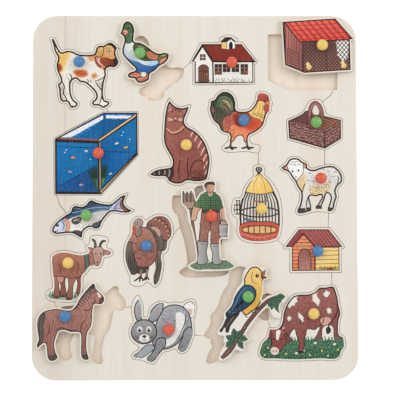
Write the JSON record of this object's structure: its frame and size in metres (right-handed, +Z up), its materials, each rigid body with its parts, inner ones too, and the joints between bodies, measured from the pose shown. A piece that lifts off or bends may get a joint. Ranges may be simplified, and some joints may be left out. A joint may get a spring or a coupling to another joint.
{
  "type": "wooden peg puzzle",
  "caption": "Flat wooden puzzle board with sawn recesses and lift-out picture pieces of farm animals and things, each with a round plastic knob.",
  "frame": {"origin": "middle of the board's underside", "axes": "+Z up out of the board's face, +Y towards the top of the pictures, +X to their right"},
  "size_m": [0.32, 0.36, 0.0219],
  "materials": {
    "backing_plywood": "sanded bare plywood",
    "birch_plywood": "sanded and matt varnished birch plywood",
    "dog_print": "picture printed on birch plywood under a satin varnish",
    "duck_print": "picture printed on birch plywood under a satin varnish",
    "farmhouse_print": "picture printed on birch plywood under a satin varnish",
    "coop_print": "picture printed on birch plywood under a satin varnish",
    "aquarium_print": "picture printed on birch plywood under a satin varnish",
    "cat_print": "picture printed on birch plywood under a satin varnish",
    "rooster_print": "picture printed on birch plywood under a satin varnish",
    "basket_print": "picture printed on birch plywood under a satin varnish",
    "fish_print": "picture printed on birch plywood under a satin varnish",
    "turkey_print": "picture printed on birch plywood under a satin varnish",
    "farmer_print": "picture printed on birch plywood under a satin varnish",
    "birdcage_print": "picture printed on birch plywood under a satin varnish",
    "sheep_print": "picture printed on birch plywood under a satin varnish",
    "goat_print": "picture printed on birch plywood under a satin varnish",
    "kennel_print": "picture printed on birch plywood under a satin varnish",
    "horse_print": "picture printed on birch plywood under a satin varnish",
    "rabbit_print": "picture printed on birch plywood under a satin varnish",
    "bird_print": "picture printed on birch plywood under a satin varnish",
    "cow_print": "picture printed on birch plywood under a satin varnish",
    "knob_red": "glossy moulded plastic",
    "knob_yellow": "glossy moulded plastic",
    "knob_green": "glossy moulded plastic",
    "knob_blue": "glossy moulded plastic"
  },
  "bodies": {
    "board": {"backing_sheet": "backing_plywood", "cutout_sheet": "birch_plywood"},
    "dog": {"dog_piece": "dog_print", "dog_knob": "knob_blue"},
    "duck": {"duck_piece": "duck_print", "duck_knob": "knob_green"},
    "farmhouse": {"farmhouse_piece": "farmhouse_print", "farmhouse_knob": "knob_red"},
    "coop": {"coop_piece": "coop_print", "coop_knob": "knob_yellow"},
    "aquarium": {"aquarium_piece": "aquarium_print", "aquarium_knob": "knob_red"},
    "cat": {"cat_piece": "cat_print", "cat_knob": "knob_yellow"},
    "rooster": {"rooster_piece": "rooster_print", "rooster_knob": "knob_blue"},
    "basket": {"basket_piece": "basket_print", "basket_knob": "knob_green"},
    "fish": {"fish_piece": "fish_print", "fish_knob": "knob_green"},
    "turkey": {"turkey_piece": "turkey_print", "turkey_knob": "knob_blue"},
    "farmer": {"farmer_piece": "farmer_print", "farmer_knob": "knob_red"},
    "birdcage": {"birdcage_piece": "birdcage_print", "birdcage_knob": "knob_yellow"},
    "sheep": {"sheep_piece": "sheep_print", "sheep_knob": "knob_red"},
    "goat": {"goat_piece": "goat_print", "goat_knob": "knob_yellow"},
    "kennel": {"kennel_piece": "kennel_print", "kennel_knob": "knob_blue"},
    "horse": {"horse_piece": "horse_print", "horse_knob": "knob_blue"},
    "rabbit": {"rabbit_piece": "rabbit_print", "rabbit_knob": "knob_red"},
    "bird": {"bird_piece": "bird_print", "bird_knob": "knob_green"},
    "cow": {"cow_piece": "cow_print", "cow_knob": "knob_yellow"}
  },
  "joints": [
    {"name": "dog_lift", "type": "slide", "parent": "board", "child": "dog", "axis": [0, 0, 1], "range_m": [0, 0.04]},
    {"name": "duck_lift", "type": "slide", "parent": "board", "child": "duck", "axis": [0, 0, 1], "range_m": [0, 0.04]},
    {"name": "farmhouse_lift", "type": "slide", "parent": "board", "child": "farmhouse", "axis": [0, 0, 1], "range_m": [0, 0.04]},
    {"name": "coop_lift", "type": "slide", "parent": "board", "child": "coop", "axis": [0, 0, 1], "range_m": [0, 0.04]},
    {"name": "aquarium_lift", "type": "slide", "parent": "board", "child": "aquarium", "axis": [0, 0, 1], "range_m": [0, 0.04]},
    {"name": "cat_lift", "type": "slide", "parent": "board", "child": "cat", "axis": [0, 0, 1], "range_m": [0, 0.04]},
    {"name": "rooster_lift", "type": "slide", "parent": "board", "child": "rooster", "axis": [0, 0, 1], "range_m": [0, 0.04]},
    {"name": "basket_lift", "type": "slide", "parent": "board", "child": "basket", "axis": [0, 0, 1], "range_m": [0, 0.04]},
    {"name": "fish_lift", "type": "slide", "parent": "board", "child": "fish", "axis": [0, 0, 1], "range_m": [0, 0.04]},
    {"name": "turkey_lift", "type": "slide", "parent": "board", "child": "turkey", "axis": [0, 0, 1], "range_m": [0, 0.04]},
    {"name": "farmer_lift", "type": "slide", "parent": "board", "child": "farmer", "axis": [0, 0, 1], "range_m": [0, 0.04]},
    {"name": "birdcage_lift", "type": "slide", "parent": "board", "child": "birdcage", "axis": [0, 0, 1], "range_m": [0, 0.04]},
    {"name": "sheep_lift", "type": "slide", "parent": "board", "child": "sheep", "axis": [0, 0, 1], "range_m": [0, 0.04]},
    {"name": "goat_lift", "type": "slide", "parent": "board", "child": "goat", "axis": [0, 0, 1], "range_m": [0, 0.04]},
    {"name": "kennel_lift", "type": "slide", "parent": "board", "child": "kennel", "axis": [0, 0, 1], "range_m": [0, 0.04]},
    {"name": "horse_lift", "type": "slide", "parent": "board", "child": "horse", "axis": [0, 0, 1], "range_m": [0, 0.04]},
    {"name": "rabbit_lift", "type": "slide", "parent": "board", "child": "rabbit", "axis": [0, 0, 1], "range_m": [0, 0.04]},
    {"name": "bird_lift", "type": "slide", "parent": "board", "child": "bird", "axis": [0, 0, 1], "range_m": [0, 0.04]},
    {"name": "cow_lift", "type": "slide", "parent": "board", "child": "cow", "axis": [0, 0, 1], "range_m": [0, 0.04]}
  ]
}
